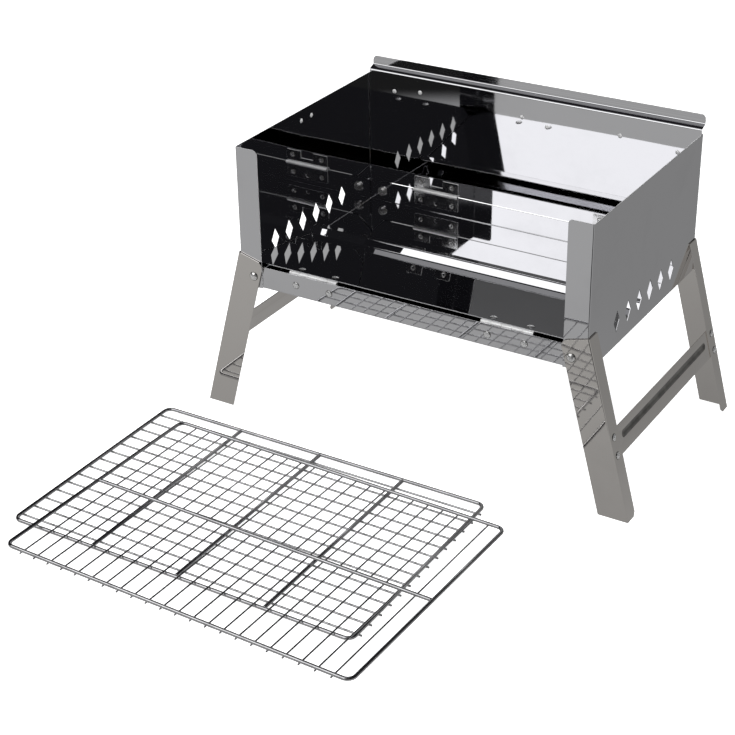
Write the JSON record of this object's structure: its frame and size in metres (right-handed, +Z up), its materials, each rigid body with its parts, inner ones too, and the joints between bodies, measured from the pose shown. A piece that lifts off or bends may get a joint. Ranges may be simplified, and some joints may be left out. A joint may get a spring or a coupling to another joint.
{
  "type": "folding camp grill",
  "caption": "Folding camp grill: sheet-steel firebox with hinged front and back panels, splayed folding leg frames and loose wire grates lying in front of it.",
  "frame": {"origin": "on the ground, at the middle of the footprint of the standing grill and the two grates together", "axes": "+X to the grill's right, +Y from the grates towards the grill's back panel, +Z up"},
  "size_m": [0.5286, 0.6302, 0.3245],
  "materials": {
    "polished_steel": "mirror-polished stainless sheet",
    "leg_steel": "polished stainless sheet, slightly warm",
    "hinge_steel": "satin",
    "rivet_steel": "polished",
    "bolt_steel": "zinc plated",
    "grate_wire": "chrome-plated wire"
  },
  "bodies": {
    "firebox": {"base_tray": "polished_steel", "left_wall": "polished_steel", "right_wall": "polished_steel", "pivot_bolts": "bolt_steel", "spacer_washers": "bolt_steel", "nut_washers": "bolt_steel", "pivot_nuts": "bolt_steel", "front_left_base_leaf": "hinge_steel", "front_right_base_leaf": "hinge_steel", "rear_left_base_leaf": "hinge_steel", "rear_right_base_leaf": "hinge_steel", "front_left_hinge_pin": "hinge_steel", "front_right_hinge_pin": "hinge_steel", "rear_left_hinge_pin": "hinge_steel", "rear_right_hinge_pin": "hinge_steel", "tray_rivets": "rivet_steel"},
    "front_panel_body": {"front_panel": "polished_steel", "front_left_panel_leaf": "hinge_steel", "front_right_panel_leaf": "hinge_steel", "front_panel_rivets": "rivet_steel"},
    "back_panel_body": {"back_panel": "polished_steel", "rear_left_panel_leaf": "hinge_steel", "rear_right_panel_leaf": "hinge_steel", "back_panel_rivets": "rivet_steel"},
    "left_leg_frame": {"left_front_leg": "leg_steel", "left_rear_leg": "leg_steel", "left_brace": "leg_steel", "left_brace_rivets": "rivet_steel"},
    "right_leg_frame": {"right_front_leg": "leg_steel", "right_rear_leg": "leg_steel", "right_brace": "leg_steel", "right_brace_rivets": "rivet_steel"},
    "charcoal_grate": {"charcoal_grate_frame": "grate_wire", "charcoal_grate_wires": "grate_wire", "charcoal_grate_crossbars": "grate_wire"},
    "cooking_grate": {"cooking_grate_frame": "grate_wire", "cooking_grate_wires": "grate_wire", "cooking_grate_center_bar": "grate_wire"}
  },
  "joints": [
    {"name": "front_panel_hinge", "type": "hinge", "parent": "firebox", "child": "front_panel_body", "pos_m": [0.01222, 0.04717, 0.178], "axis": [1, 0, 0], "range_deg": [0, 99.9]},
    {"name": "back_panel_hinge", "type": "hinge", "parent": "firebox", "child": "back_panel_body", "pos_m": [0.01222, 0.30317, 0.178], "axis": [1, 0, 0], "range_deg": [0, 96]},
    {"name": "left_leg_pivot", "type": "hinge", "parent": "firebox", "child": "left_leg_frame", "pos_m": [-0.17078, 0.17517, 0.1658], "axis": [0, -1, 0], "range_deg": [0, 105]},
    {"name": "right_leg_pivot", "type": "hinge", "parent": "firebox", "child": "right_leg_frame", "pos_m": [0.19522, 0.17517, 0.1658], "axis": [0, 1, 0], "range_deg": [0, 105]},
    {"name": "charcoal_grate_lift", "type": "slide", "parent": "firebox", "child": "charcoal_grate", "axis": [0, 0, 1], "range_m": [0, 0.25]},
    {"name": "cooking_grate_lift", "type": "slide", "parent": "charcoal_grate", "child": "cooking_grate", "axis": [0, 0, 1], "range_m": [0, 0.25]}
  ]
}
